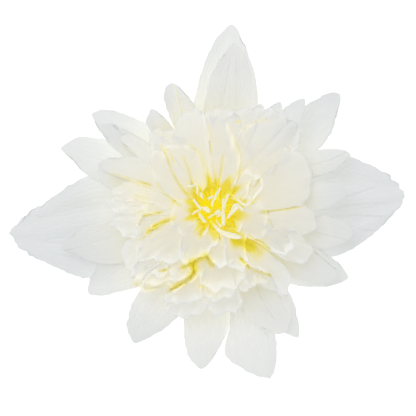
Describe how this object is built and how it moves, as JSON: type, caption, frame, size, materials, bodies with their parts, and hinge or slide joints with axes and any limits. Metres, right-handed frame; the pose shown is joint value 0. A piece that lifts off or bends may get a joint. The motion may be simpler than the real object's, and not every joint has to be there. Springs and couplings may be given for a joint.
{
  "type": "begonia flower",
  "caption": "Double white begonia flower, lying face up: broad outer tepals in layers, a dense ruffled cream head and a deep yellow heart of twisted petaloids.",
  "frame": {"origin": "centre of the stalk stub's flat underside, where the flower rests", "axes": "+Z out of the face of the flower; +X along its longest span, to the tip of the broad right-hand tepal as the picture shows it; +Y towards the long upper tepal"},
  "size_m": [0.1086, 0.0975, 0.0262],
  "materials": {
    "tepal_white": "satin, finely veined",
    "petal_cream": "satin, translucent edges",
    "heart_yellow": "satin",
    "receptacle_green": "satin"
  },
  "bodies": {
    "root": {"receptacle": "receptacle_green", "back_tepal_right": "tepal_white", "back_tepal_left": "tepal_white", "back_tepal_top": "tepal_white", "back_tepal_bottom_left": "tepal_white", "back_tepal_upper_right": "tepal_white", "back_tepal_left_upper": "tepal_white", "back_tepal_lower_left": "tepal_white", "back_tepal_right_lower": "tepal_white", "back_tepal_left_lower": "tepal_white", "back_tepal_bottom_right": "tepal_white", "back_tepal_top_left": "tepal_white", "back_tepal_upper_left": "tepal_white", "back_tepal_lower_right": "tepal_white", "front_tepal_top": "tepal_white", "front_tepal_upper_right_c": "tepal_white", "front_tepal_lower_right": "tepal_white", "front_tepal_left_lower": "tepal_white", "front_tepal_right_lower": "tepal_white", "front_tepal_upper_left": "tepal_white", "front_tepal_upper_right_b": "tepal_white", "front_tepal_left": "tepal_white", "front_tepal_upper_left_small": "tepal_white", "front_tepal_right_upper": "tepal_white", "front_tepal_right_middle": "tepal_white", "front_tepal_upper_right_a": "tepal_white", "front_tepal_right": "tepal_white", "inner_petals": "petal_cream", "heart_petaloids": "heart_yellow"}
  },
  "joints": []
}
